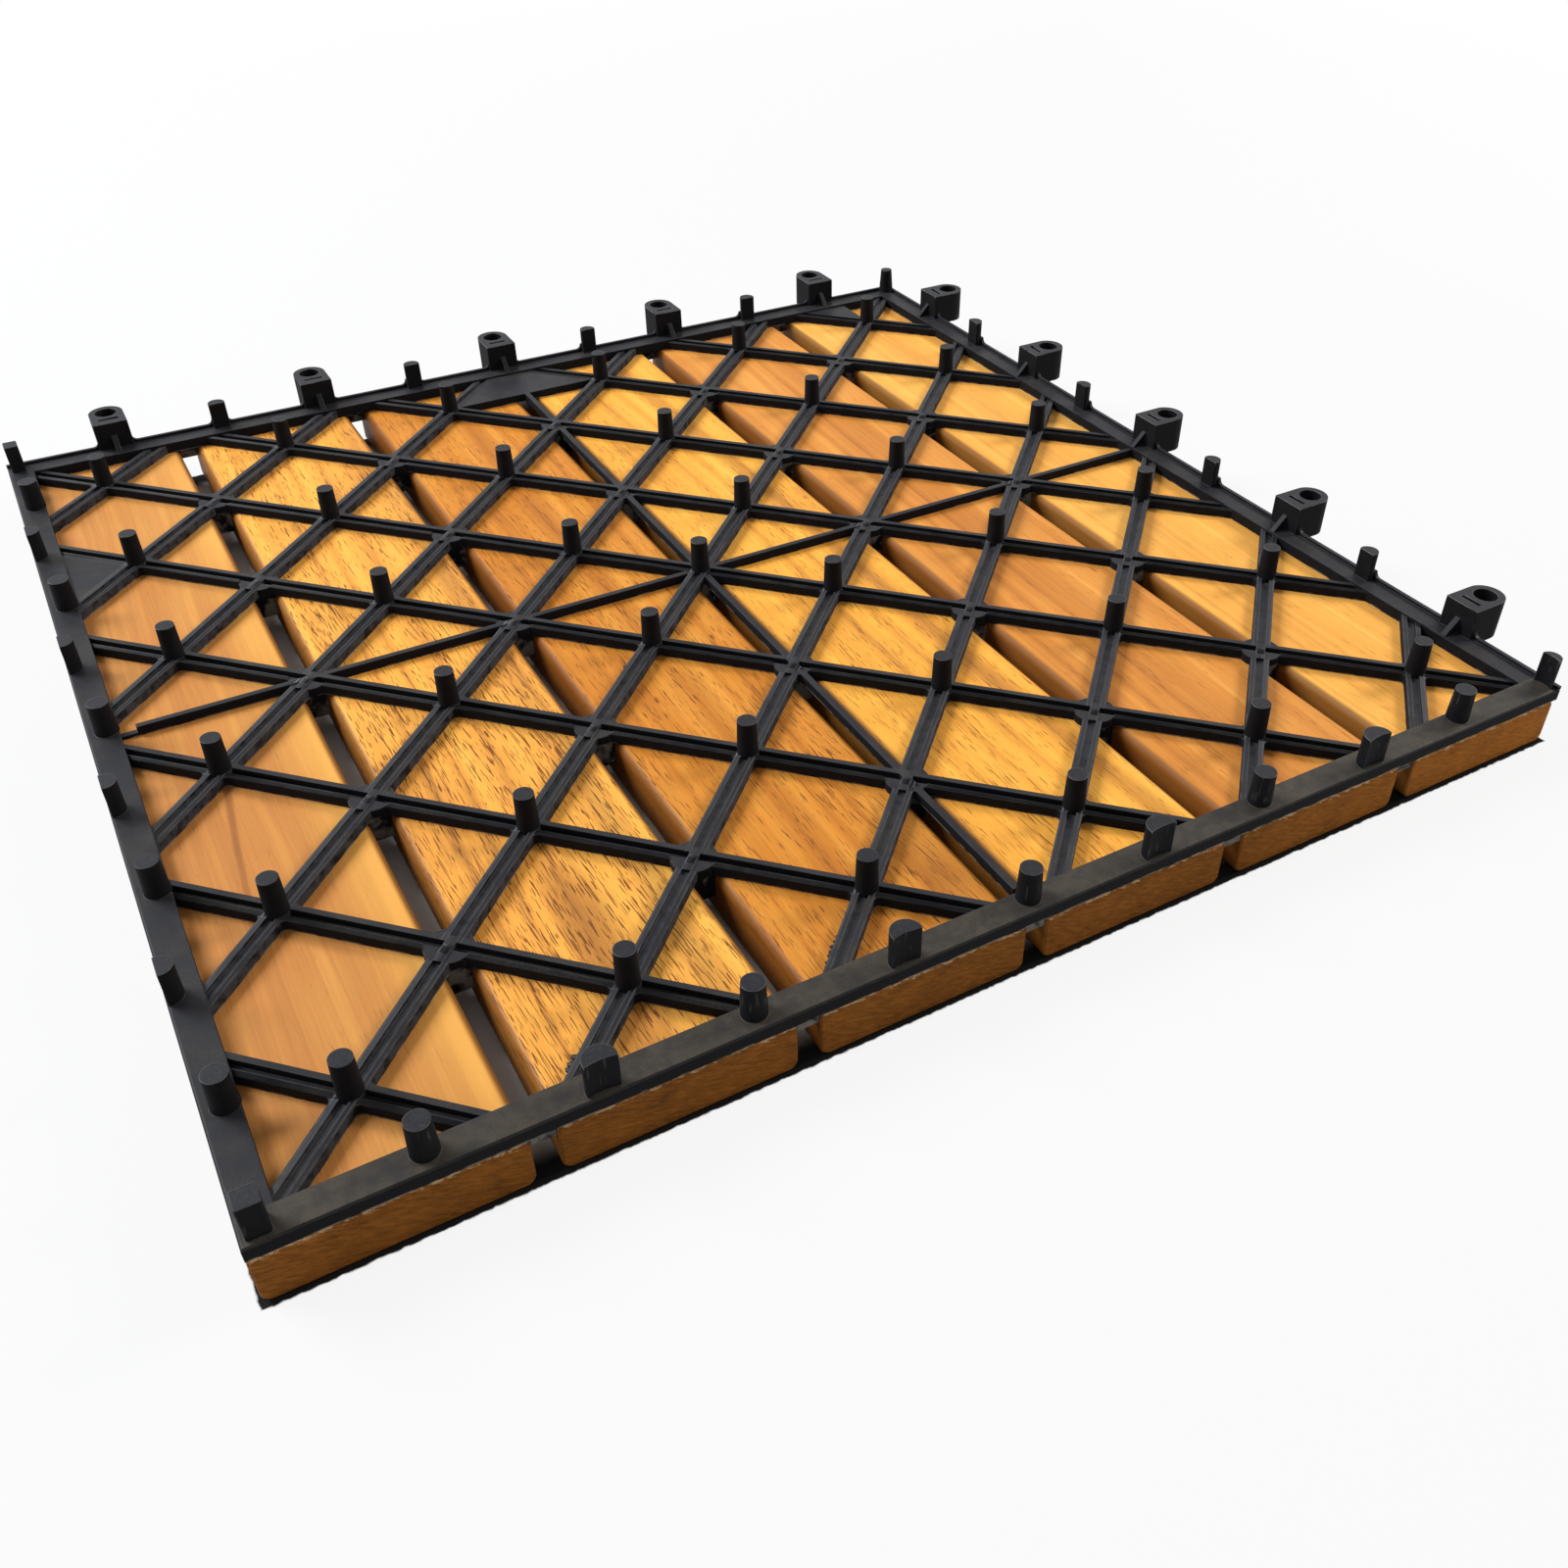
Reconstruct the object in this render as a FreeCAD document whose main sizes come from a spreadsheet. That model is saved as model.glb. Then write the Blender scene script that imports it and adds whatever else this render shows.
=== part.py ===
import FreeCAD, Part
import math
import os
import Sketcher
from types import SimpleNamespace

# Interlocking deck tile, lying face down: six hardwood slats on the ground and, on their backs,
# the moulded plastic grid that carries them and stands on the floor once the tile is turned over.
# X runs along the front edge, Y along the left edge, Z up. The slats' walking faces lie on Z = 0.

Vector = FreeCAD.Vector
Rotation = FreeCAD.Rotation

# Driving dimensions in millimetres, each with what it measures.
DRIVING = [
    ("tile_side", 300, "side of the square plastic grid, edge to edge"),
    ("slat_count", 6, "number of wooden slats"),
    ("slat_gap", 4.8, "open gap between neighbouring slats"),
    ("slat_thick", 12, "thickness of a slat"),
    ("slat_round", 2, "radius on the long edges of a slat"),
    ("slat_end_inset", 0.5, "how far a slat's end stands back from the grid's edge"),
    ("slat_end_chamfer", 0.4, "broken edge round a slat's sawn end"),
    ("band_thick", 3, "thickness of the flat band round the grid"),
    ("band_width", 6.5, "width of that band"),
    ("edge_chamfer", 0.35, "broken outer edge of the band on the front and left"),
    ("rib_thick", 2.4, "thickness of the diagonal ribs"),
    ("rib_width", 4.4, "width of the diagonal ribs"),
    ("groove_width", 1.8, "width of the groove along the top of a rib"),
    ("falling_groove_depth", 1.6, "depth of that groove in the ribs that fall to the right"),
    ("rising_groove_depth", 0.8, "depth of that groove in the ribs that rise to the right"),
    ("groove_near", 4.4, "from a crossing over a gap back to the end of the rising rib's groove"),
    ("groove_far", 2.4, "from that crossing on to the start of the rising rib's next groove"),
    ("neck_width", 2.2, "solid neck between the falling rib's grooves at that crossing"),
    ("window_round", 1.4, "corner radius of the diamond windows"),
    ("disc_radius", 4.8, "collar round each crossing that lies over a slat gap"),
    ("disc_thick", 2.15, "thickness of that collar"),
    ("tongue_length", 9, "length of the tongue under the collar, along the gap"),
    ("tongue_depth", 6, "how far the tongue reaches down between the slats"),
    ("spacer_length", 4, "length of the small spacer under the band in each gap"),
    ("spacer_depth", 3, "how far that spacer reaches down between the slats"),
    ("spacer_inset", 1.2, "from the tile's edge to that spacer"),
    ("wood_clearance", 0.1, "play between plastic and wood on every side"),
    ("peg_radius", 2.25, "moulded peg that holds a slat, under each pin"),
    ("peg_length", 6, "length of that peg"),
    ("peg_bottom_play", 1, "free depth below the peg in its blind hole"),
    ("foot_height", 7.8, "height of every foot above the band"),
    ("pin_base_radius", 2.4, "foot pin at a crossing, radius at its base"),
    ("pin_top_radius", 2.15, "the same pin, radius at its top"),
    ("connector_count", 5, "connector pins or eyes on each side"),
    ("connector_inset", 4.25, "from the tile's edge to a connector pin's axis"),
    ("connector_base_radius", 2.6, "connector pin, radius at its base"),
    ("connector_top_radius", 2.3, "connector pin, radius at its top"),
    ("connector_clearance", 0.4, "play between a connector pin and a neighbour's eye"),
    ("eye_width", 9.5, "width of a connector eye"),
    ("eye_hole_out", 6.25, "from the tile's edge out to the eye's hole"),
    ("eye_seat", 2, "how far the eye reaches in over the band"),
    ("eye_underside", 0.8, "height of the eye's underside above the wood"),
    ("eye_slot_length", 5.6, "length of the narrow slot between eye and band"),
    ("eye_slot_width", 1.2, "width of that slot"),
    ("eye_slot_out", 1.2, "from the tile's edge out to the slot's middle"),
    ("gusset_height", 4, "height of the web that props each eye"),
    ("gusset_reach", 4, "how far that web reaches over the band"),
    ("gusset_thick", 1.5, "thickness of that web"),
    ("rim_width", 1, "raised lip on the back and right edges, width"),
    ("rim_height", 0.8, "height of that lip above the band"),
    ("front_post_width", 6.2, "half-round post between the front connector pins, width"),
    ("front_post_depth", 3.9, "the same post, depth"),
    ("front_post_hollow", 0.4, "soft valley in the same post's outer face"),
    ("front_post_inset", 0.9, "from the front edge to that face"),
    ("left_post_width", 5, "half-round post between the left connector pins, width"),
    ("left_post_depth", 3.2, "the same post, depth"),
    ("left_post_inset", 0.3, "from the left edge to that post"),
    ("eye_post_width", 4.6, "half-round post between the eyes, width"),
    ("eye_post_depth", 3.2, "the same post, depth"),
    ("foot_flare", 1.6, "radius of the flared foot of eyes and posts at the rim"),
    ("corner_inset", 1.1, "from the edges to a corner post"),
    ("corner_post_width", 4.2, "square post at the front left corner"),
    ("corner_post_slim", 3.6, "slim post at the back left corner"),
    ("corner_post_round", 0.5, "radius on the vertical edges of those two posts"),
    ("corner_pin_base", 2.5, "round post at the back right corner, radius at its base"),
    ("corner_pin_top", 1.9, "the same post, radius at its top"),
    ("corner_shell_width", 4.8, "hollow-faced post at the front right corner, width"),
    ("corner_shell_depth", 2.4, "the same post, depth"),
    ("corner_shell_hollow", 0.6, "the same post, hollow of its inner face"),
    ("blade_thick", 1.5, "thin straight blades through the tile's middle"),
    ("front_blade_gap", 1.5, "from the front band to the blade's stub end"),
    ("left_blade_gap", 3.5, "from the left band to the other blade's end"),
    ("blade_strip_thick", 0.9, "thin strip that joins that end to the left band"),
]

# Dimensions that follow from the driving ones.
DERIVED = [
    ("slat_width", "=(tile_side - (slat_count - 1) * slat_gap) / slat_count"),
    ("slat_pitch", "=slat_width + slat_gap"),
    ("slat_length", "=tile_side - 2 * slat_end_inset"),
    ("half_pitch", "=slat_pitch / 2"),
    ("middle", "=tile_side / 2"),
    ("half_reach", "=(tile_side + eye_hole_out + eye_width / 2) / 2"),
    ("foot_level", "=band_thick + foot_height"),
    ("window_side", "=half_pitch * sqrt(2) - rib_width"),
    ("rib_span", "=half_pitch * sqrt(2)"),
    ("tongue_width", "=slat_gap - 2 * wood_clearance"),
    ("connector_pitch", "=tile_side / connector_count"),
    ("peg_hole_radius", "=peg_radius + wood_clearance"),
    ("peg_hole_depth", "=peg_length + peg_bottom_play"),
]

UP = Vector(0, 0, 1)

# The turn that makes a piece's own +Y point into the tile at each edge, and the edge's first corner.
EDGES = {
    "front": {"turn": 0, "along": Vector(1, 0, 0), "inwards": Vector(0, 1, 0), "corner": (0, 0)},
    "left": {"turn": -90, "along": Vector(0, 1, 0), "inwards": Vector(1, 0, 0), "corner": (0, 0)},
    "back": {"turn": 180, "along": Vector(1, 0, 0), "inwards": Vector(0, -1, 0), "corner": (0, 1)},
    "right": {"turn": 90, "along": Vector(0, 1, 0), "inwards": Vector(-1, 0, 0), "corner": (1, 0)},
}


def make_sizes(doc):
    """Writes the driving and the derived dimensions into the document's spreadsheet."""
    sheet = doc.addObject("Spreadsheet::Sheet", "Sizes")
    row = 0
    for name, value, note in DRIVING:
        row += 1
        sheet.set(f"A{row}", name)
        sheet.set(f"B{row}", str(value))
        sheet.setAlias(f"B{row}", name)
        sheet.set(f"C{row}", note)
    for name, formula in DERIVED:
        row += 1
        sheet.set(f"A{row}", name)
        sheet.set(f"B{row}", formula)
        sheet.setAlias(f"B{row}", name)
    doc.recompute()
    return sheet


def read_sizes(sheet):
    """Reads every dimension back from the spreadsheet, for the pieces made with Part's functions."""
    names = [row[0] for row in DRIVING + DERIVED]
    sizes = SimpleNamespace(**{name: float(sheet.get(name)) for name in names})
    sizes.slat_count = int(sizes.slat_count)
    sizes.connector_count = int(sizes.connector_count)
    return sizes


def on_edge(piece, edge, along, inset, level, d):
    """Sets a copy of a piece at an edge of the tile, its own +Y pointing inwards."""
    spot = EDGES[edge]
    corner_x, corner_y = spot["corner"]
    corner = Vector(corner_x * d.tile_side, corner_y * d.tile_side, level)
    copy = piece.copy()
    copy.rotate(Vector(), UP, spot["turn"])
    copy.translate(corner + spot["along"] * along + spot["inwards"] * inset)
    return copy


def block(length, width, height):
    """A box centred on the Z axis, standing on the ground."""
    return Part.makeBox(length, width, height, Vector(-length / 2, -width / 2, 0))


def rounded_block(length, width, height, radius):
    """The same with rounded vertical edges."""
    solid = block(length, width, height)
    upright = [edge for edge in solid.Edges if abs(edge.tangentAt(edge.FirstParameter).z) > 0.9]
    return solid.makeFillet(radius, upright)


def prism(corners, height):
    """A straight prism over the corners of a polygon."""
    points = [Vector(x, y, 0) for x, y in corners]
    return Part.Face(Part.makePolygon(points + points[:1])).extrude(UP * height)


def half_round(width, depth, height, hollow=0):
    """A post with a face on the X axis, flat or hollow, and a rounded back of the given depth."""
    left = Vector(-width / 2, 0, 0)
    right = Vector(width / 2, 0, 0)
    back = Part.Arc(right, Vector(0, depth, 0), left).toShape()
    if hollow:
        face = Part.Arc(left, Vector(0, hollow, 0), right).toShape()
    else:
        face = Part.makeLine(left, right)
    return Part.Face(Part.Wire([back, face])).extrude(UP * height)


def crossings(first, last):
    """The lattice crossings from one index to another, two half pitches apart."""
    steps = range(first, last + 1, 2)
    return [(across, along) for across in steps for along in steps]


def at_crossing(piece, across, along, d):
    """Sets a copy of a piece at a lattice place counted in half pitches from the tile's middle."""
    copy = piece.copy()
    x = d.middle + across * d.half_pitch
    y = d.middle + along * d.half_pitch
    copy.translate(Vector(x, y, 0))
    return copy


def make_windows(d):
    """The diamond windows between the ribs, cut right through."""
    window = rounded_block(d.window_side, d.window_side, d.rib_thick, d.window_round)
    window.rotate(Vector(), UP, 45)
    steps = range(-d.slat_count, d.slat_count + 1)
    return [at_crossing(window, across, along, d)
            for across in steps for along in steps if (across + along) % 2]


def groove_bar(start, end, depth, turn, d):
    """A bar that cuts a groove from start to end of a rib, turned to lie along it."""
    corner = Vector(start, -d.groove_width / 2, d.rib_thick - depth)
    bar = Part.makeBox(end - start, d.groove_width, depth, corner)
    bar.rotate(Vector(), UP, turn)
    return bar


def make_grooves(d):
    """The grooves along the ribs, which cross at every foot pin and stop at the gaps' crossings."""
    falling_end = d.rib_span - d.neck_width / 2
    rising_start = d.groove_far - d.rib_span
    rising_end = d.rib_span - d.groove_near
    falling = groove_bar(-falling_end, falling_end, d.falling_groove_depth, -45, d)
    rising = groove_bar(rising_start, rising_end, d.rising_groove_depth, 45, d)
    last = d.slat_count - 1
    grooves = [at_crossing(groove, across, along, d)
               for across, along in crossings(-last, last) for groove in (falling, rising)]
    for depth, turn in ((d.falling_groove_depth, -45), (d.rising_groove_depth, 45)):
        middle = groove_bar(-d.groove_near, d.groove_near, depth, turn, d)
        grooves.append(at_crossing(middle, 0, 0, d))
    return grooves


def make_foot_pins(d):
    """A foot pin on every crossing over a slat, and one in the tile's middle, rooted in the ribs."""
    pin = Part.makeCone(d.pin_base_radius, d.pin_top_radius, d.foot_level - d.rib_thick,
                        Vector(0, 0, d.rib_thick))
    root = Part.makeCylinder(d.pin_base_radius, d.rib_thick)
    last = d.slat_count - 1
    places = crossings(-last, last) + [(0, 0)]
    return [at_crossing(piece, across, along, d) for across, along in places for piece in (pin, root)]


def make_pegs(d):
    """The pegs under the foot pins, which hold the slats."""
    peg = Part.makeCylinder(d.peg_radius, d.peg_length, Vector(0, 0, -d.peg_length))
    last = d.slat_count - 1
    return [at_crossing(peg, across, along, d) for across, along in crossings(-last, last)]


def gap_crossings(d):
    """The crossings that lie over the gaps between the slats."""
    last = d.slat_count - 2
    return crossings(-last, last)


def make_collars(d):
    """A collar round each crossing over a gap, apart from the one in the tile's middle."""
    collar = Part.makeCylinder(d.disc_radius, d.disc_thick)
    return [at_crossing(collar, across, along, d) for across, along in gap_crossings(d)
            if (across, along) != (0, 0)]


def make_collar_steps(d):
    """What each collar leaves off its front ridge, down to the collar, either side of the neck."""
    reach = d.disc_radius
    height = d.rib_thick - d.disc_thick
    step = Part.makeCylinder(reach, height, Vector(0, 0, d.disc_thick))
    neck = block(d.neck_width, 2 * reach, d.rib_thick)
    ridge_edge = Vector(-reach, -d.groove_width / 2, 0)
    step = step.cut([neck, Part.makeBox(2 * reach, 2 * reach, d.rib_thick, ridge_edge)])
    step.rotate(Vector(), UP, -45)
    return [at_crossing(step, across, along, d) for across, along in gap_crossings(d)
            if (across, along) != (0, 0)]


def make_tongues(d):
    """The tongues under the crossings over a gap, which space the slats."""
    tongue = block(d.tongue_width, d.tongue_length, d.tongue_depth)
    tongue.translate(Vector(0, 0, -d.tongue_depth))
    return [at_crossing(tongue, across, along, d) for across, along in gap_crossings(d)]


def make_blades(d):
    """Two thin straight blades through the middle, each ending short of one band."""
    far_end = d.tile_side - d.band_width / 2
    side = d.middle - d.blade_thick / 2
    front_start = d.band_width + d.front_blade_gap
    left_start = d.band_width + d.left_blade_gap
    strip_start = d.band_width / 2
    return [
        Part.makeBox(d.blade_thick, far_end - front_start, d.rib_thick, Vector(side, front_start, 0)),
        Part.makeBox(far_end - left_start, d.blade_thick, d.rib_thick, Vector(left_start, side, 0)),
        Part.makeBox(left_start - strip_start, d.blade_thick, d.blade_strip_thick,
                     Vector(strip_start, side, 0)),
    ]


def make_band(d):
    """The flat band round the grid, its outer edge broken on the front and left."""
    band = Part.makeBox(d.tile_side, d.tile_side, d.band_thick)
    opening = d.tile_side - 2 * d.band_width
    corner = Vector(d.band_width, d.band_width, 0)
    band = band.cut(Part.makeBox(opening, opening, d.band_thick, corner))
    outer = []
    for edge in band.Edges:
        middle = edge.CenterOfMass
        if abs(middle.z - d.band_thick) < 1e-6 and min(abs(middle.x), abs(middle.y)) < 1e-6:
            outer.append(edge)
    return band.makeChamfer(d.edge_chamfer, outer)


def make_closed_windows(d):
    """Windows moulded shut: one at the left band, half of one at the back and a corner web."""
    lip = d.band_width / 2
    edge = d.slat_count * d.half_pitch - d.middle + lip
    reach = d.half_pitch + d.rib_width * math.sqrt(0.5)
    left = prism([(edge - reach, 0), (reach - edge, 0), (0, reach - edge)], d.rib_thick)
    ridge = (d.rib_width - d.groove_width) / 4
    window = (d.window_side + ridge) * math.sqrt(0.5)
    deep = d.half_pitch - edge
    back = prism([(deep - window, 0), (window - deep, 0), (window, deep), (-window, deep)],
                 d.rib_thick)
    tip = window - edge
    web = prism([(0, 0), (tip, 0), (0, tip)], d.rib_thick)
    half_way = d.middle + d.slat_count / 2 * d.half_pitch
    last_slat = d.middle + (d.slat_count - 1) * d.half_pitch
    return [
        on_edge(left, "left", half_way, lip, 0, d),
        on_edge(back, "back", d.middle, lip, 0, d),
        on_edge(web, "back", last_slat, lip, 0, d),
    ]


def make_spacers(d):
    """Small spacers under the front and back bands, one in each gap between slats."""
    spacer = block(d.tongue_width, d.spacer_length, d.spacer_depth)
    spacer.translate(Vector(0, d.spacer_length / 2, 0))
    spacers = []
    for gap in range(1, d.slat_count):
        along = gap * d.slat_pitch - d.slat_gap / 2
        for edge in ("front", "back"):
            spacers.append(on_edge(spacer, edge, along, d.spacer_inset, -d.spacer_depth, d))
    return spacers


def make_rims(d):
    """The raised lip along the outer edge of the band, on the two sides that carry the eyes."""
    lip = Part.makeBox(d.tile_side, d.rim_width, d.rim_height)
    return [
        on_edge(lip, "back", d.tile_side, 0, d.band_thick, d),
        on_edge(lip, "right", 0, 0, d.band_thick, d),
    ]


def flare(width, d):
    """The flared foot of an upright on the rim: a short trapezium with hollow flanks."""
    half = width / 2
    foot = half + d.foot_flare
    slant = d.foot_flare * (1 - math.sqrt(0.5))
    corners = [Vector(-foot, 0, 0), Vector(foot, 0, 0), Vector(half, 0, d.foot_flare),
               Vector(-half, 0, d.foot_flare)]
    right = Part.Arc(corners[1], Vector(half + slant, 0, slant), corners[2]).toShape()
    left = Part.Arc(corners[3], Vector(-half - slant, 0, slant), corners[0]).toShape()
    base = Part.makeLine(corners[0], corners[1])
    top = Part.makeLine(corners[2], corners[3])
    return Part.Face(Part.Wire([base, right, top, left])).extrude(Vector(0, d.rim_width, 0))


def make_connector_pins(d):
    """The tapered pins along the front and left that press into a neighbour's eyes."""
    pin = Part.makeCone(d.connector_base_radius, d.connector_top_radius, d.foot_height)
    pins = []
    for row in range(d.connector_count):
        along = (row + 0.5) * d.connector_pitch
        for edge in ("front", "left"):
            pins.append(on_edge(pin, edge, along, d.connector_inset, d.band_thick, d))
    return pins


def make_posts(d):
    """Half-round posts half way between the pins or eyes of every edge."""
    front = half_round(d.front_post_width, d.front_post_depth, d.foot_height, d.front_post_hollow)
    left = half_round(d.left_post_width, d.left_post_depth, d.foot_height)
    outer = half_round(d.eye_post_width, d.eye_post_depth, d.foot_height)
    outer.rotate(Vector(), UP, 180)
    foot = flare(d.eye_post_width, d)
    posts = []
    for row in range(1, d.connector_count):
        along = row * d.connector_pitch
        posts.append(on_edge(front, "front", along, d.front_post_inset, d.band_thick, d))
        posts.append(on_edge(left, "left", along, d.left_post_inset, d.band_thick, d))
        for edge in ("back", "right"):
            posts.append(on_edge(outer, edge, along, d.eye_post_depth, d.band_thick, d))
            posts.append(on_edge(foot, edge, along, 0, d.band_thick + d.rim_height, d))
    return posts


def eye(d):
    """A connector eye: straight flanks, a round end, the hole, and a narrow slot at the edge."""
    half = d.eye_width / 2
    height = d.foot_level - d.eye_underside
    body = Part.makeBox(d.eye_width, d.eye_seat + d.eye_hole_out, height,
                        Vector(-half, -d.eye_hole_out, 0))
    centre = Vector(0, -d.eye_hole_out, 0)
    body = body.fuse(Part.makeCylinder(half, height, centre))
    slot = block(d.eye_slot_length, d.eye_slot_width, height)
    slot.translate(Vector(0, -d.eye_slot_out, 0))
    hole_radius = d.connector_base_radius + d.connector_clearance
    return body.cut([Part.makeCylinder(hole_radius, height, centre), slot]).removeSplitter()


def make_eyes(d):
    """The eyes along the back and right, each propped by a small web on the band."""
    ring = eye(d)
    foot = flare(d.eye_width, d)
    web = Part.makeWedge(-d.gusset_thick / 2, 0, 0, 0, -d.gusset_thick / 2,
                         d.gusset_thick / 2, d.gusset_reach, d.gusset_height, 0,
                         d.gusset_thick / 2)
    eyes = []
    for row in range(d.connector_count):
        along = (row + 0.5) * d.connector_pitch
        for edge in ("back", "right"):
            eyes.append(on_edge(ring, edge, along, 0, d.eye_underside, d))
            eyes.append(on_edge(web, edge, along, d.eye_seat, d.band_thick, d))
            eyes.append(on_edge(foot, edge, along, 0, d.band_thick + d.rim_height, d))
    return eyes


def make_corner_posts(d):
    """One post at each corner, each of its own form."""
    height = d.foot_height
    level = d.band_thick
    square = rounded_block(d.corner_post_width, d.corner_post_width, height, d.corner_post_round)
    slim = rounded_block(d.corner_post_slim, d.corner_post_width, height, d.corner_post_round)
    pin = Part.makeCone(d.corner_pin_base, d.corner_pin_top, height)
    shell = half_round(d.corner_shell_width, d.corner_shell_depth, height, d.corner_shell_hollow)
    shell.rotate(Vector(), UP, 180)
    inset = d.corner_inset + d.corner_post_width / 2
    slim_along = d.corner_inset + d.corner_post_slim / 2
    pin_along = d.tile_side - d.corner_pin_base
    shell_along = d.rim_width + d.corner_shell_width / 2
    return [
        on_edge(square, "front", inset, inset, level, d),
        on_edge(slim, "back", slim_along, inset, level, d),
        on_edge(pin, "back", pin_along, d.corner_pin_base, level, d),
        on_edge(shell, "right", shell_along, d.corner_shell_depth, level, d),
    ]


def make_base_grid(doc, d):
    """The whole moulding: one piece of plastic, a fine lattice with everything moulded on it."""
    lip = d.band_width / 2
    side = d.tile_side - d.band_width
    lattice = Part.makeBox(side, side, d.rib_thick, Vector(lip, lip, 0))
    lattice = lattice.cut(make_windows(d)).fuse(make_closed_windows(d) + make_collars(d))
    lattice = lattice.cut(make_grooves(d) + make_collar_steps(d))
    pieces = [make_band(d)]
    for group in (make_foot_pins, make_pegs, make_tongues, make_blades, make_spacers, make_rims,
                  make_connector_pins, make_posts, make_eyes, make_corner_posts):
        pieces += group(d)
    grid = doc.addObject("Part::Feature", "base_grid")
    grid.Shape = lattice.fuse(pieces).removeSplitter()
    grid.Placement = FreeCAD.Placement(Vector(-d.half_reach, -d.half_reach, d.slat_thick), Rotation())
    return grid


def origin_part(body, role):
    """Gives one of a body's own origin planes or axes."""
    return next(part for part in body.Origin.OriginFeatures if part.Role == role)


def bind(sketch, name, constraint, expression):
    """Adds a named dimension to a sketch and ties it to the spreadsheet."""
    index = sketch.addConstraint(constraint)
    sketch.renameConstraint(index, name)
    sketch.setExpression(f"Constraints.{name}", expression)


def draw_slat_section(sketch, d):
    """Draws a slat's cross-section, a rectangle with rounded corners about the sketch's origin."""
    x = d.slat_width / 2
    y = d.slat_thick / 2
    straight_x = x - d.slat_round
    straight_y = y - d.slat_round
    sides = [
        Part.LineSegment(Vector(-straight_x, -y, 0), Vector(straight_x, -y, 0)),
        Part.LineSegment(Vector(x, -straight_y, 0), Vector(x, straight_y, 0)),
        Part.LineSegment(Vector(straight_x, y, 0), Vector(-straight_x, y, 0)),
        Part.LineSegment(Vector(-x, straight_y, 0), Vector(-x, -straight_y, 0)),
    ]
    centres = [(straight_x, -straight_y), (straight_x, straight_y), (-straight_x, straight_y),
               (-straight_x, -straight_y)]
    arcs = []
    for quarter, (centre_x, centre_y) in enumerate(centres, start=-1):
        start = quarter * math.pi / 2
        circle = Part.Circle(Vector(centre_x, centre_y, 0), UP, d.slat_round)
        arcs.append(Part.ArcOfCircle(circle, start, start + math.pi / 2))
    sketch.addGeometry(sides + arcs, False)
    for side in range(4):
        corner = 4 + side
        sketch.addConstraint(Sketcher.Constraint("Tangent", side, 2, corner, 1))
        sketch.addConstraint(Sketcher.Constraint("Tangent", corner, 2, (side + 1) % 4, 1))
    for side, rule in enumerate(("Horizontal", "Vertical", "Horizontal", "Vertical")):
        sketch.addConstraint(Sketcher.Constraint(rule, side))
    for corner in (5, 6, 7):
        sketch.addConstraint(Sketcher.Constraint("Equal", 4, corner))
    bind(sketch, "corner", Sketcher.Constraint("Radius", 4, d.slat_round), "Sizes.slat_round")
    half_width = "Sizes.slat_width / 2"
    half_thick = "Sizes.slat_thick / 2"
    bind(sketch, "right", Sketcher.Constraint("DistanceX", -1, 1, 1, 1, x), half_width)
    bind(sketch, "left", Sketcher.Constraint("DistanceX", 3, 1, -1, 1, x), half_width)
    bind(sketch, "top", Sketcher.Constraint("DistanceY", -1, 1, 2, 1, y), half_thick)
    bind(sketch, "bottom", Sketcher.Constraint("DistanceY", 0, 1, -1, 1, y), half_thick)


def make_slat(doc, d, index):
    """One hardwood slat, rounded on its long edges, with blind holes for the pegs in its back."""
    name = f"slat_{index + 1}"
    body = doc.addObject("PartDesign::Body", name)
    middle = f"({index} + 0.5) * Sizes.slat_pitch - Sizes.slat_gap / 2"
    body.setExpression("Placement.Base.x", f"{middle} - Sizes.half_reach")
    body.setExpression("Placement.Base.y", "Sizes.slat_end_inset - Sizes.half_reach")
    section = body.newObject("Sketcher::SketchObject", f"{name}_section")
    section.AttachmentSupport = (origin_part(body, "XZ_Plane"), [""])
    section.MapMode = "FlatFace"
    section.setExpression("AttachmentOffset.Base.y", "Sizes.slat_thick / 2")
    draw_slat_section(section, d)
    board = body.newObject("PartDesign::Pad", f"{name}_board")
    board.Profile = section
    board.Reversed = True
    board.setExpression("Length", "Sizes.slat_length")
    body.Tip = board
    doc.recompute()
    ends = [f"Face{number}" for number, face in enumerate(board.Shape.Faces, start=1)
            if abs(face.normalAt(0, 0).y) > 0.999]
    eased = body.newObject("PartDesign::Chamfer", f"{name}_eased_ends")
    eased.Base = (board, ends)
    eased.setExpression("Size", "Sizes.slat_end_chamfer")
    body.Tip = eased
    hole = body.newObject("PartDesign::SubtractiveCylinder", f"{name}_hole")
    hole.AttachmentSupport = (origin_part(body, "XY_Plane"), [""])
    hole.MapMode = "FlatFace"
    hole.setExpression("Radius", "Sizes.peg_hole_radius")
    hole.setExpression("Height", "Sizes.peg_hole_depth")
    first = "Sizes.middle - (Sizes.slat_count - 1) * Sizes.half_pitch"
    hole.setExpression("AttachmentOffset.Base.y", f"{first} - Sizes.slat_end_inset")
    hole.setExpression("AttachmentOffset.Base.z", "Sizes.slat_thick - Sizes.peg_hole_depth")
    holes = body.newObject("PartDesign::LinearPattern", f"{name}_holes")
    holes.Originals = [hole]
    holes.Direction = (origin_part(body, "Y_Axis"), [""])
    holes.Mode = "Spacing"
    holes.setExpression("Offset", "Sizes.slat_pitch")
    holes.setExpression("Occurrences", "Sizes.slat_count")
    body.Tip = holes
    return body


def check(doc, parts):
    """Stops if any feature failed or any finished piece isn't one valid solid."""
    for feature in doc.Objects:
        if "Invalid" in feature.State or "Error" in feature.State:
            raise RuntimeError(f"{feature.Name} failed: {feature.State}")
    for part in parts:
        if part.Shape.isNull() or not part.Shape.isValid() or len(part.Shape.Solids) != 1:
            raise RuntimeError(f"{part.Label} isn't one valid solid")


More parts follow.
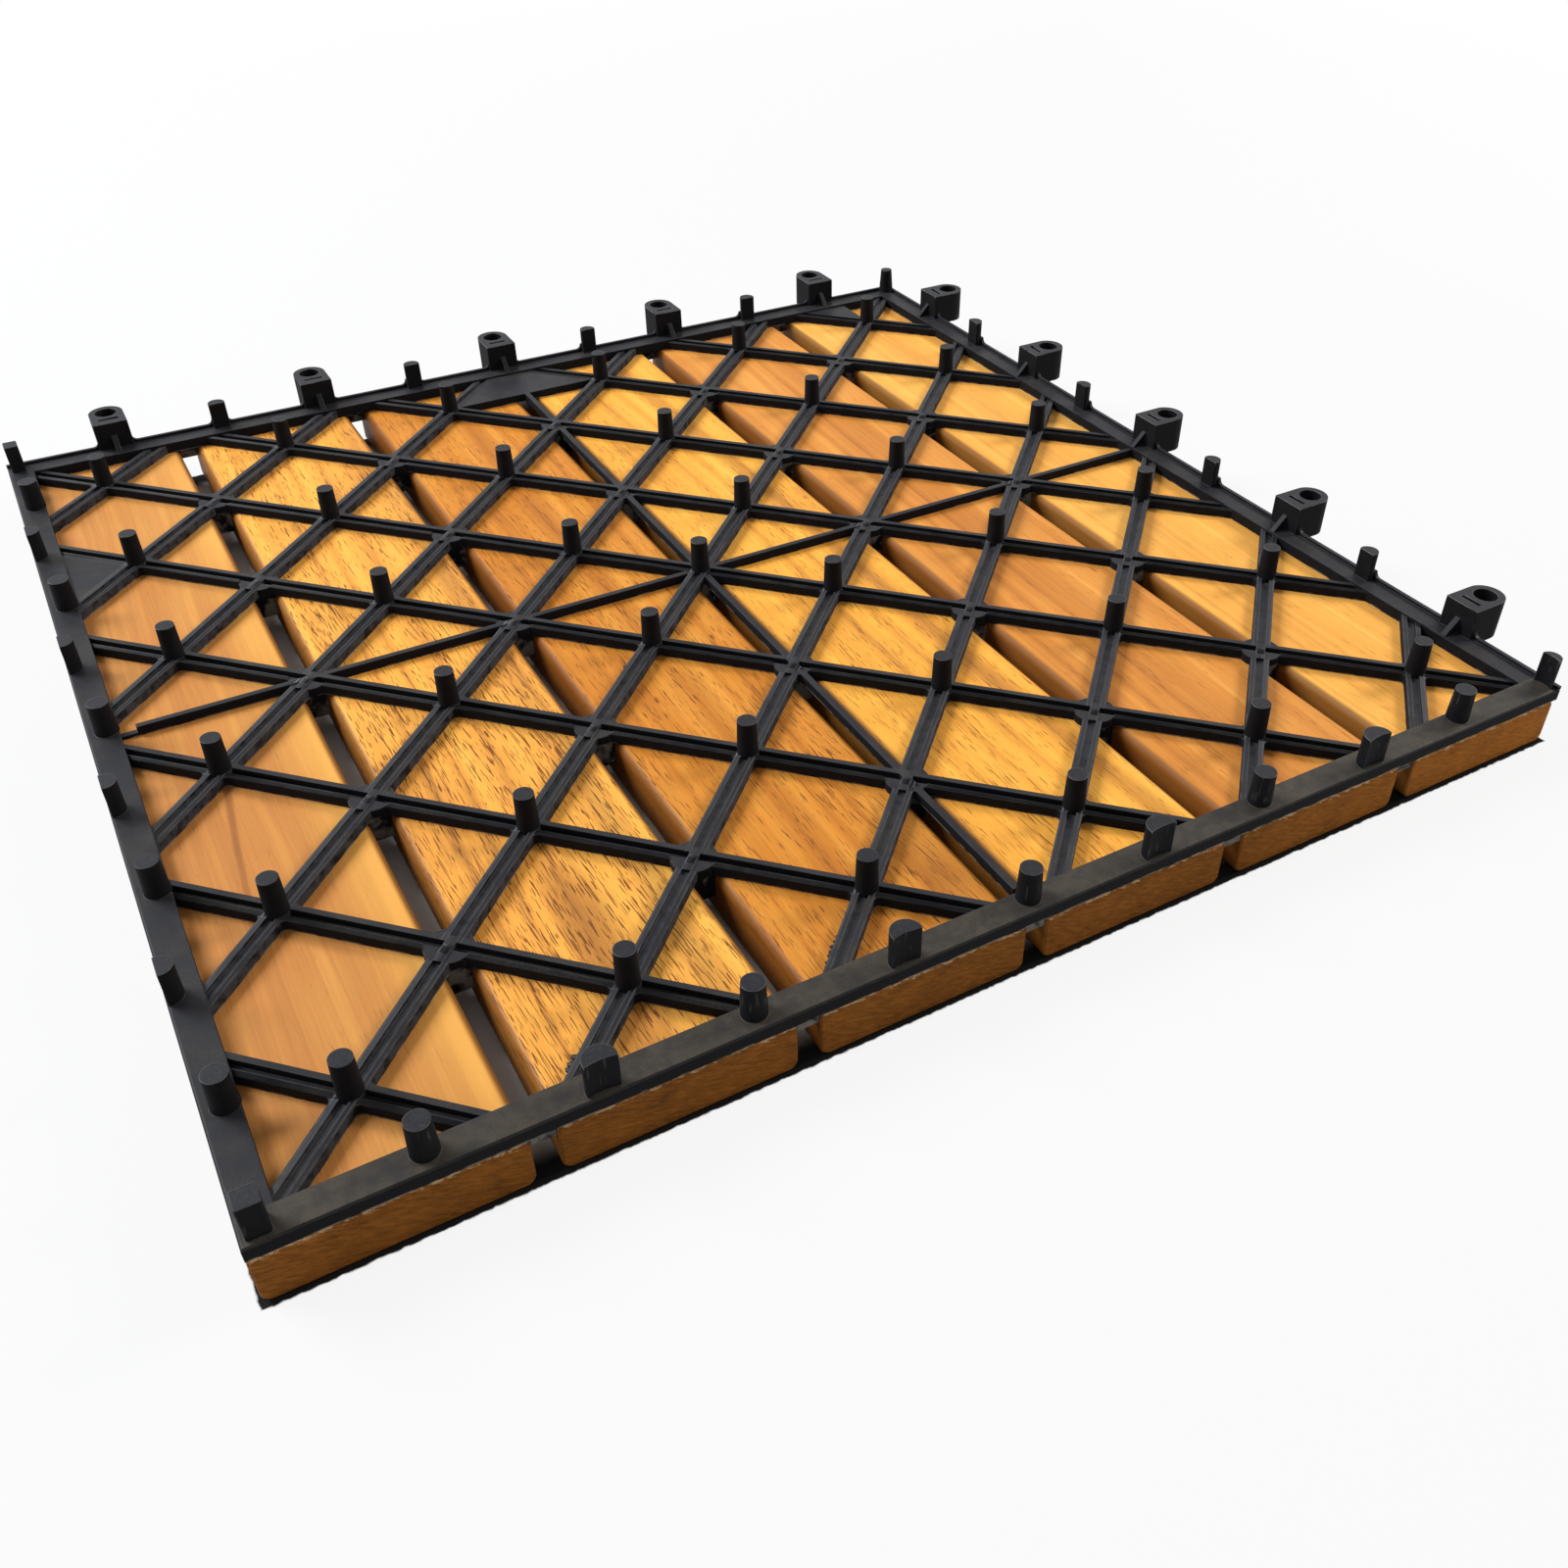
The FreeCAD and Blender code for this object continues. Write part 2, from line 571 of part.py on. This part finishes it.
def main():
    doc = FreeCAD.newDocument("deck_tile")
    sizes = read_sizes(make_sizes(doc))
    parts = [make_base_grid(doc, sizes)]
    for index in range(sizes.slat_count):
        parts.append(make_slat(doc, sizes, index))
    doc.recompute()
    check(doc, parts)
    os.makedirs("parts", exist_ok=True)
    for part in parts:
        part.Shape.exportStep(f"parts/{part.Label}.step")


main()
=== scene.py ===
import random

import bmesh
import bpy
from mathutils import Matrix


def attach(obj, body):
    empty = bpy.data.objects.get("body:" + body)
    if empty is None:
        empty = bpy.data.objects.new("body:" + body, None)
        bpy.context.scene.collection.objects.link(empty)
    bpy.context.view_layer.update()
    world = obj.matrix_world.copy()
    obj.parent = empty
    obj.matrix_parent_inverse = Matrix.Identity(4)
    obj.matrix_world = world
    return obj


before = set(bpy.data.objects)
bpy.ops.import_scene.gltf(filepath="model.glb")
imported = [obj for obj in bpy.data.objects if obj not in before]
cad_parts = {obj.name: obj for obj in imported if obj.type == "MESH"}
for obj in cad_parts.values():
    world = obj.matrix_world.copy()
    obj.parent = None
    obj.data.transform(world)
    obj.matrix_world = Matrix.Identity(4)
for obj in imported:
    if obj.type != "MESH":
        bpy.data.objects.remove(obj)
scene = bpy.context.scene
scene.view_settings.view_transform = "Standard"
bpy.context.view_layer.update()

# The view: the tile is seen from above its front left corner with a wide lens,
# held level, the front edge running up to the right. The shift is what the picture's crop needs.
camera = bpy.data.objects.new("camera", bpy.data.cameras.new("camera"))
scene.collection.objects.link(camera)
camera.data.sensor_width = 36
camera.data.lens = 33.4153
camera.data.shift_x = -0.040352
camera.data.clip_start = 0.01
camera.matrix_world = Matrix((
    (0.86283, 0.31038, -0.39899, -0.142086),
    (-0.50543, 0.54223, -0.67121, -0.311668),
    (0.00802, 0.7808, 0.62472, 0.208949),
    (0, 0, 0, 1),
))
scene.camera = camera


class Tone:
    """A value or colour in a finish. Arithmetic on it adds that finish's Math nodes."""

    def __init__(self, socket):
        self.socket = socket

    def node(self, kind, settings, sockets, out=0):
        """A new node: its settings, what goes into its sockets, and the output taken from it."""
        made = self.socket.id_data.nodes.new("ShaderNode" + kind)
        for name, value in settings.items():
            if name == "stops":
                while len(made.color_ramp.elements) < len(value):
                    made.color_ramp.elements.new(0.5)
                for stop, (place, colour) in zip(made.color_ramp.elements, value):
                    stop.position = place
                    stop.color = colour
            else:
                setattr(made, name, value)
        for name, value in sockets.items():
            if isinstance(value, Tone):
                made.id_data.links.new(value.socket, made.inputs[name])
            else:
                made.inputs[name].default_value = value
        return Tone(made.outputs[out])

    def sum(self, operation, first, second):
        return self.node("Math", {"operation": operation}, {0: first, 1: second})

    def __add__(self, other):
        return self.sum("ADD", self, other)

    __radd__ = __add__

    def __sub__(self, other):
        return self.sum("SUBTRACT", self, other)

    def __rsub__(self, other):
        return self.sum("SUBTRACT", other, self)

    def __mul__(self, other):
        return self.sum("MULTIPLY", self, other)

    def __truediv__(self, other):
        return self.sum("DIVIDE", self, other)

    def __pow__(self, other):
        return self.sum("POWER", self, other)

    def __abs__(self):
        return self.sum("ABSOLUTE", self, 0.0)

    def rise(self, low, high):
        """Goes smoothly from 0 at low to 1 at high."""
        return self.node("MapRange", {"interpolation_type": "SMOOTHSTEP"},
                         {"Value": self, "From Min": low, "From Max": high})

    def fall(self, low, high):
        """Goes smoothly from 1 at low to 0 at high."""
        return 1.0 - self.rise(low, high)

    def span(self, start, full, fade, end):
        """1 from full to fade, and 0 before start and after end."""
        return self.rise(start, full) * self.fall(fade, end)

    def dot(self, other):
        """How far this direction agrees with another, 1 for the same."""
        return self.node("VectorMath", {"operation": "DOT_PRODUCT"}, {0: self, 1: other}, "Value")

    def between(self, first, second):
        """The colour between first, where this is 0, and second, where it is 1."""
        return self.node("Mix", {"data_type": "RGBA"}, {0: self, 6: first, 7: second}, 2)

    def shade(self, colour):
        """A colour made darker or lighter by this value."""
        return colour.node("VectorMath", {"operation": "SCALE"}, {0: colour, "Scale": self})

    def cloud(self, across, along, up, detail=2.0, rough=0.5):
        """Soft noise from 0 to 1 at a place in mm, its lumps that long each way."""
        stretched = self.node("VectorMath", {"operation": "DIVIDE"}, {0: self, 1: (across, along, up)})
        return self.node("TexNoise", {}, {"Vector": stretched, "Scale": 1.0, "Detail": detail,
                                          "Roughness": rough})

    def point(self, x, y, z):
        """The place or direction with these three measures."""
        return self.node("CombineXYZ", {}, {"X": x, "Y": y, "Z": z})


def start_finish(name):
    """A new material, its shader, and the place on the tile in mm, whole and as x, y and z."""
    material = bpy.data.materials.new(name)
    material.use_nodes = True
    shader = material.node_tree.nodes["Principled BSDF"]
    spot = Tone(material.node_tree.nodes.new("ShaderNodeTexCoord").outputs["Object"])
    place = spot.node("VectorMath", {"operation": "SCALE"}, {0: spot, "Scale": 1000.0})
    x, y, z = (place.node("SeparateXYZ", {}, {0: place}, out) for out in range(3))
    return material, shader, place, x, y, z


def feed(shader, **inputs):
    """Links tones to a shader's sockets, named with underscores."""
    for name, tone in inputs.items():
        shader.id_data.links.new(tone.socket, shader.inputs[name.replace("_", " ")])


# The floor: plain pale ground that the tile lies on. The camera and reflections see it near white
# away from the tile, with the tile's soft shadow. The gaps show it grey, with a painted shadow: a
# dark line all round where the slats' lower edges stand on it.
floor_shape = bmesh.new()
bmesh.ops.create_grid(floor_shape, x_segments=1, y_segments=1, size=4)
floor_mesh = bpy.data.meshes.new("floor")
floor_shape.to_mesh(floor_mesh)
floor_shape.free()
floor = bpy.data.objects.new("floor", floor_mesh)
scene.collection.objects.link(floor)
floor_paint, floor_shader, place, x, y, z = start_finish("floor")
wood_centre = -5.5
ragged = place.cloud(1.8, 1.8, 1.8) * 0.8
reach = x.sum("MAXIMUM", abs(x - wood_centre), abs(y - wood_centre)) + ragged
bare = reach.rise(150.8, 151.3)
# Painted shadow: the floor under the tile darkens to near black towards its edges.
gap_grey, contact_shadow_black, open_grey = (0.72, 0.7, 0.66, 1), (0.02, 0.02, 0.02, 1), (0.6, 0.6, 0.6, 1)
shaded = reach.rise(140.0, 147.0).between(gap_grey, contact_shadow_black)
feed(floor_shader, Base_Color=bare.between(shaded, open_grey))
floor_shader.inputs["Roughness"].default_value = 0.9
floor_shader.inputs["Specular IOR Level"].default_value = 0.0
glow = bare.node("Emission", {}, {"Color": (1, 1, 1, 1), "Strength": 1.0})


def seen_rays(tone):
    """1 for what the camera, a reflection or clear matter sees, 0 for what only lights."""
    camera_ray, glossy, clear = (tone.node("LightPath", {}, {}, "Is " + kind + " Ray")
                                 for kind in ("Camera", "Glossy", "Transmission"))
    return camera_ray + glossy + clear


near_white = 0.88
far = reach.rise(260.0, 900.0)
glowing = seen_rays(bare) * bare * (near_white + far * (1 - near_white))
blend = bare.node("MixShader", {}, {0: glowing, 1: Tone(floor_shader.outputs[0]), 2: glow})
floor_out = floor_paint.node_tree.nodes["Material Output"]
floor_paint.node_tree.links.new(blend.socket, floor_out.inputs[0])
floor_mesh.materials.append(floor_paint)

# The light: a pale room with one large soft lamp beyond the tile's left corner and a smaller one at
# its right. They stand square to the ribs that rise to the right, whose edges they pick out.
room = bpy.data.worlds.new("room")
scene.world = room
room.use_nodes = True
surround = room.node_tree.nodes["Background"]
surround.inputs["Color"].default_value = (0.97, 0.98, 1, 1)
seen = seen_rays(Tone(surround.outputs[0]))
ambient = 0.3
room.node_tree.links.new((seen * (1 - ambient) + ambient).socket, surround.inputs["Strength"])
for name, spot, size, watts, colour in (
    ("left lamp", (-0.85, 0.75, 0.9), 0.7, 26, (0.92, 0.96, 1)),
    ("right lamp", (1.15, -0.15, 0.75), 0.4, 11, (1, 0.96, 0.9)),
):
    lamp = bpy.data.objects.new(name, bpy.data.lights.new(name, "AREA"))
    lamp.data.size = size
    lamp.data.energy = watts
    lamp.data.color = colour
    lamp.location = spot
    lamp.rotation_euler = (-lamp.location).to_track_quat("-Z", "Y").to_euler()
    scene.collection.objects.link(lamp)

# The grid: one moulding of black recycled plastic. Its ribs, band and feet come from the mould
# with a satin skin, faint mottling and dust, worn arrises, scuffs on the foot tops and pale flash
# along the lower edges. Light is painted on it too: pale highlight lines on arrises, lips, lower
# edges and down the front feet, and tops and walls painted paler where the lamps light them.
plastic, shader, place, x, y, z = start_finish("grid_plastic")
wood_top, rising_groove_floor, rib_top, foot_top = 12.0, 13.6, 14.4, 22.8
front_side = -149.5
rib_pitch, rib_half = 50.8, 2.4
arris_radius = 0.00035
skin_relief = 0.00006

# The plastic as it left the mould
mottle = place.cloud(2.6, 2.6, 2.6, 3.0, 0.6)
speck = place.cloud(0.35, 0.35, 0.35, 2.0, 0.6)
black, charcoal = (0.0025, 0.0025, 0.003, 1), (0.007, 0.007, 0.0085, 1)
body = (mottle * 0.6 + speck * 0.4).rise(0.3, 0.7).between(black, charcoal)

# Which way the surface faces, and the arrises worn grey, palest on the feet; the pale arris
# lines, brightest round the feet's tops, are partly painted highlights
soft = place.node("Bevel", {"samples": 8}, {"Radius": arris_radius})
flat = place.node("NewGeometry", {}, {}, "True Normal")
upward = flat.node("SeparateXYZ", {}, {0: flat}, "Z")
top = upward.rise(0.6, 0.9)
foot = z.rise(foot_top - 0.8, foot_top - 0.4)
arris = (1.0 - soft.dot(flat)).rise(0.02, 0.14) * place.cloud(7, 7, 7, 3.0, 0.6).rise(0.34, 0.56)
rib_arris, foot_arris = (0.12, 0.125, 0.15, 1), (0.36, 0.36, 0.34, 1)
rubbed_and_lit = (arris * (0.4 + foot * 0.5)).between(body, foot.between(rib_arris, foot_arris))


def off_rib(across):
    """How far a point lies from the nearest of the ribs that cross this diagonal distance."""
    turn = across / rib_pitch + 0.5
    return (turn.sum("FRACT", turn, 0.0) - 0.5) * (rib_pitch / 2 ** 0.5)


# Painted highlights: two thin pale lines on each side of the rising ribs, where the lamps catch
# their lips, partly worn arrises too
falling, rising = off_rib(x + y + 11.0), off_rib(x - y)
on_rib = top * z.span(rib_top - 0.2, rib_top - 0.1, rib_top + 0.1, rib_top + 0.2)
worn = place.cloud(6, 6, 6, 3.0, 0.6).rise(0.36, 0.52)
for edge, strength in ((1.05, 0.6), (1.98, 0.9)):
    line = abs(abs(rising) - edge).fall(0.08, 0.28) * on_rib * worn * strength
    rubbed_and_lit = line.between(rubbed_and_lit, (0.16, 0.165, 0.19, 1))

# Painted light: the rising ribs' front walls, the floors of their shallow grooves, and every top
# but the front lips of the falling ribs are painted paler, as where the lamps light them
front_wall = flat.dot((0.707, -0.707, 0)).rise(0.8, 0.98)
lit_wall = front_wall * z.fall(rib_top, rib_top + 0.2) * mottle.rise(0.3, 0.6)
rubbed_and_lit = (lit_wall * 0.7).between(rubbed_and_lit, (0.06, 0.06, 0.066, 1))
front_lip = falling.span(-rib_half - 0.2, -rib_half + 0.2, -0.9, -0.6) * on_rib
lit_top = top * (1.0 - front_lip)
lit_paint = (lit_top * 0.8).between(rubbed_and_lit, (0.024, 0.024, 0.028, 1))
groove_z = rising_groove_floor
shallow = top * z.span(groove_z - 0.2, groove_z - 0.1, groove_z + 0.1, groove_z + 0.2)
lit_paint = (shallow * mottle.rise(0.2, 0.6) * 0.7).between(lit_paint, (0.06, 0.061, 0.07, 1))

# Dust on the tops, and a brownish tint thickest on the front band; scuffs on the foot tops; and
# pale streaks down the front feet, which are painted highlights
front_band = y.fall(front_side + 0.2, front_side + 0.7)
dust = place.cloud(14, 14, 14, 3.0, 0.6).rise(0.42, 0.66) * speck.rise(0.35, 0.6)
dust_and_front_tint = (dust * 0.35 + front_band * (0.3 + mottle.rise(0.35, 0.65) * 0.3)) * top * (1.0 - foot)
dust_tinted = dust_and_front_tint.between(lit_paint, (0.078, 0.064, 0.046, 1))
scuff = place.cloud(0.5, 0.5, 0.5, 4.0, 0.75).rise(0.45, 0.75)
scuff = scuff * z.rise(foot_top - 0.3, foot_top - 0.05) * top
streak = place.cloud(0.8, 0.8, 7, 2.0).rise(0.58, 0.7) * front_band * z.rise(16.0, 17.0) * (1.0 - top)
scuffs_and_glints = (scuff * 0.25 + streak * 0.35).between(dust_tinted, (0.1, 0.1, 0.098, 1))

# Pale flash along the lower edges, partly painted highlight where these edges catch the light,
# and the nubs where the tongues show at the front
low = z.fall(wood_top + 0.12, wood_top + 0.4) * abs(upward).fall(0.3, 0.6)
flash_and_glint = low * place.cloud(5, 5, 5, 3.0, 0.6).rise(0.44, 0.6)
nub = z.fall(wood_top - 0.3, wood_top) * y.fall(front_side - 1.0, front_side) * mottle.rise(0.3, 0.6)
pale = place.sum("MAXIMUM", flash_and_glint, nub)

# The flat lips of the ribs are drawn rounded: the normal leans away from the rib's middle
falling_lean = (falling.rise(-0.6, 0.6) - 0.68) * abs(falling).fall(rib_half - 0.2, rib_half + 0.2)
rising_lean = (rising.rise(-0.6, 0.6) - 0.5) * abs(rising).fall(rib_half - 0.2, rib_half + 0.2)
falling_lean, rising_lean = falling_lean * on_rib * 0.9, rising_lean * on_rib * 0.4
lean = place.point(falling_lean + rising_lean, falling_lean - rising_lean, 0.0)
rounded = soft.node("VectorMath", {"operation": "ADD"}, {0: soft, 1: lean})
skin = rounded.node("VectorMath", {"operation": "NORMALIZE"}, {0: rounded})
feed(
    shader,
    Base_Color=(pale * 0.8).between(scuffs_and_glints, (0.27, 0.255, 0.22, 1)),
    Roughness=0.38 + mottle * 0.16 + abs(upward).fall(0.2, 0.6) * 0.35 + scuff * 0.1,
    Normal=place.node("Bump", {}, {"Height": mottle * 0.5 + speck * 0.25, "Distance": skin_relief,
                                   "Strength": 1.0, "Normal": skin}),
)
shader.inputs["Specular IOR Level"].default_value = 0.13
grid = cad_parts["base_grid"]
grid.data.materials.clear()
grid.data.materials.append(plastic)

# Burrs: teeth of plastic that squeezed out along the ribs' edges when the mould closed, left
# untrimmed. Three runs follow rising ribs and one the thin blade in the middle.
burrs_shape = bmesh.new()
burr_level = 0.0137
jitter = 0.0003
down_rib, down_blade = (-0.7071, -0.7071), (0, -1)
dice = random.Random(7)
for start_spot, heading, teeth, pitch, size in (
    ((-0.0383, -0.0352), down_rib, 5, 0.0015, 0.0005),
    ((-0.0424, -0.1409), down_rib, 6, 0.0014, 0.00045),
    ((-0.0965, -0.1442), down_rib, 3, 0.0017, 0.0007),
    ((-0.0047, -0.0905), down_blade, 4, 0.0011, 0.0003),
):
    for tooth in range(teeth):
        along = tooth * pitch + dice.uniform(-jitter, jitter)
        corner = (start_spot[0] + heading[0] * along, start_spot[1] + heading[1] * along, burr_level)
        long, wide, high = dice.uniform(1.0, 1.6), dice.uniform(0.7, 1.1), dice.uniform(0.7, 1.0)
        stretch = Matrix.Diagonal((long, wide, high, 1))
        twist = Matrix.Rotation(dice.uniform(2.0, 2.7), 4, "Z")
        bmesh.ops.create_icosphere(burrs_shape, subdivisions=1, radius=size * dice.uniform(0.7, 1.4),
                                   matrix=Matrix.Translation(corner) @ twist @ stretch)
burrs_mesh = bpy.data.meshes.new("burrs")
burrs_shape.to_mesh(burrs_mesh)
burrs_shape.free()
burrs = bpy.data.objects.new("burrs", burrs_mesh)
scene.collection.objects.link(burrs)
burrs_mesh.materials.append(plastic)
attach(burrs, "root")

# The slats: six oiled hardwood boards side by side, each from its own log, so each has its own
# colour and figure. They are planed, with the walking edges rounded and the ends sawn.
sawn_end = 149.25


def slat_wood(name, pale, warm, brown, pith, lean, gap, streaks, pores, painted_sheen=None):
    """Oiled hardwood, its growth rings turning about a pith that lies along the slat.

    pith is where that lies in x and z, lean how far it strays in x for each mm along, and gap the
    rings' spacing. A streak is a brown band: its x at y 0, its slope, half width and strength, and
    the y where it starts and ends. pores goes from 0, closed, to 1, open. The span in x given last
    is a paler golden band: a painted sheen where the light catches the board.
    """
    material, shader, place, x, y, z = start_finish(name)
    wander = place.cloud(45, 170, 60, 2.0) - 0.5
    ripple = place.cloud(8, 70, 9, 2.0) - 0.5

    # The growth rings, with broad and fine changes of tone across the board
    side = x - pith[0] - y * lean + wander * 9.0
    drop = z - pith[1]
    ring = (side * side + drop * drop) ** 0.5 + ripple * 2.2
    growth = ring.node("TexNoise", {"noise_dimensions": "1D"},
                       {"W": ring / gap, "Scale": 1.0, "Detail": 3.0, "Roughness": 0.62})
    board = place.cloud(22, 70, 30, 2.0)
    shimmer = place.cloud(3.4, 9, 4, 3.0, 0.6)
    fibre = place.cloud(0.5, 26, 0.5, 4.0, 0.7)
    figure = growth * 0.38 + board * 0.42 + shimmer * 0.2
    tone = figure.node("ValToRGB", {"stops": ((0.38, pale), (0.52, warm), (0.74, brown))}, {0: figure})
    for centre, slope, width, depth, near, far in streaks:
        off = abs(x - centre - y * slope + wander * 7.0 + ripple * 2.0)
        along = y.span(near - 12.0, near + 12.0, far - 14.0, far + 14.0)
        band = off.fall(width * 0.2, width) * depth * (0.7 + ripple * 1.2) * along
        tone = band.node("Mix", {"data_type": "RGBA", "clamp_factor": True},
                         {0: band, 6: tone, 7: brown}, 2)
    tone = (0.44 + board * 0.34 + shimmer * 0.42 + fibre * 0.56).shade(tone)

    # The pores: short dark slits along the grain, out of step from strand to strand
    strand = place.cloud(1.6, 60, 1.6, 1.0) * 22.0
    fleck = place.point(x + wander * 10.0 + y * lean, y + strand, z).cloud(0.22, 4.6, 0.22, 0.5)
    crowd = place.cloud(13, 60, 16, 2.0) * 0.2 + growth * 0.1 - y * 0.0002
    pore = (fleck + crowd).rise(0.95 - pores * 0.18, 0.99 - pores * 0.18)
    tone = (pore * (0.5 + pores * 0.4)).between(tone, (0.16, 0.05, 0.01, 1))
    # Painted sheen: a paler golden band where the light catches the board
    if painted_sheen:
        sheen = x.span(*painted_sheen) * board.rise(0.3, 0.55)
        tone = (sheen * 0.6).between(tone, (0.98, 0.5, 0.1, 1))

    # Painted shade: the long sides, darker than the faces, as they stand in the gaps' shade
    normal = place.node("NewGeometry", {}, {}, "True Normal")
    lie = normal.node("SeparateXYZ", {}, {0: normal}, "X")
    wall = abs(lie).rise(0.1, 0.75) * (0.72 + fibre * 0.2)
    tone = wall.between(tone, (0.15, 0.045, 0.006, 1))

    # The sawn ends: coarse slanting grain and a pale broken lip along their upper edge
    end = abs(y - wood_centre).rise(sawn_end - 0.15, sawn_end + 0.15)
    cut = place.point(x - z * 1.6, y, z + x * 0.4).cloud(5.0, 5.0, 0.8, 4.0, 0.75).rise(0.3, 0.7)
    patch = place.cloud(9, 9, 5, 2.0)
    # Painted light: the ends paler towards the right, where more light falls on them
    paler_to_right = x.rise(30.0, 150.0) * 0.3
    sawn = (0.1 + cut * 0.38 + patch * 0.42 + paler_to_right).shade(end.between(tone, (0.58, 0.2, 0.026, 1)))
    chipped = place.cloud(2.2, 2.2, 2.2, 3.0, 0.7).rise(0.4, 0.6)
    lip = end * (z + cut * 1.4).rise(wood_top - 0.7, wood_top - 0.2) * chipped
    tone = (lip * 0.7).between(end.between(tone, sawn), (0.85, 0.6, 0.33, 1))
    feed(
        shader,
        Base_Color=tone,
        Roughness=0.44 + fibre * 0.14 + end * 0.3,
        Normal=place.node("Bump", {}, {"Height": fibre * 0.5 - pore * 0.15 + end * cut,
                                       "Distance": 0.0001, "Strength": 1.0}),
    )
    shader.inputs["Specular IOR Level"].default_value = 0.15
    return material


slats = {
    "slat_1": dict(
        pale=(0.62, 0.28, 0.066, 1), warm=(0.5, 0.2, 0.048, 1), brown=(0.3, 0.11, 0.03, 1),
        pith=(-240, -60), lean=0.03, gap=6.0, pores=0.0, painted_sheen=(-123.0, -111.0, -110.0, -109.0),
        streaks=((-127.5, 0.12, 1.2, 1.0, -85, -25),),
    ),
    "slat_2": dict(
        pale=(0.93, 0.46, 0.078, 1), warm=(0.8, 0.34, 0.055, 1), brown=(0.26, 0.10, 0.025, 1),
        pith=(-190, -40), lean=0.03, gap=4.5, pores=1.0,
        streaks=((-78, 0.03, 8, 0.75, -190, -95), (-64, 0.03, 4, 0.5, -190, 150)),
    ),
    "slat_3": dict(
        pale=(0.72, 0.30, 0.045, 1), warm=(0.56, 0.20, 0.025, 1), brown=(0.28, 0.085, 0.015, 1),
        pith=(60, -50), lean=0.02, gap=4.0, pores=0.8,
        streaks=((-30, 0.02, 6, 0.4, -190, 150), (-12.3, 0.02, 8, 0.8, -143, -124)),
    ),
    "slat_4": dict(
        pale=(0.92, 0.48, 0.08, 1), warm=(0.82, 0.36, 0.05, 1), brown=(0.38, 0.15, 0.03, 1),
        pith=(-70, -60), lean=-0.02, gap=4.6, pores=0.65,
        streaks=((33, -0.03, 4, 0.7, -190, 150),),
    ),
    "slat_5": dict(
        pale=(0.76, 0.33, 0.07, 1), warm=(0.60, 0.23, 0.042, 1), brown=(0.34, 0.11, 0.024, 1),
        pith=(160, -50), lean=0.02, gap=4.4, pores=0.35,
        streaks=((76, 0.04, 6, 0.4, -190, 150),),
    ),
    "slat_6": dict(
        pale=(0.9, 0.46, 0.095, 1), warm=(0.8, 0.36, 0.065, 1), brown=(0.46, 0.18, 0.035, 1),
        pith=(30, -40), lean=0.02, gap=5.0, pores=0.25,
        streaks=((118, 0.03, 5, 0.4, -190, 150),),
    ),
}
for name, figure in slats.items():
    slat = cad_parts[name]
    slat.data.materials.clear()
    slat.data.materials.append(slat_wood(name + "_wood", **figure))
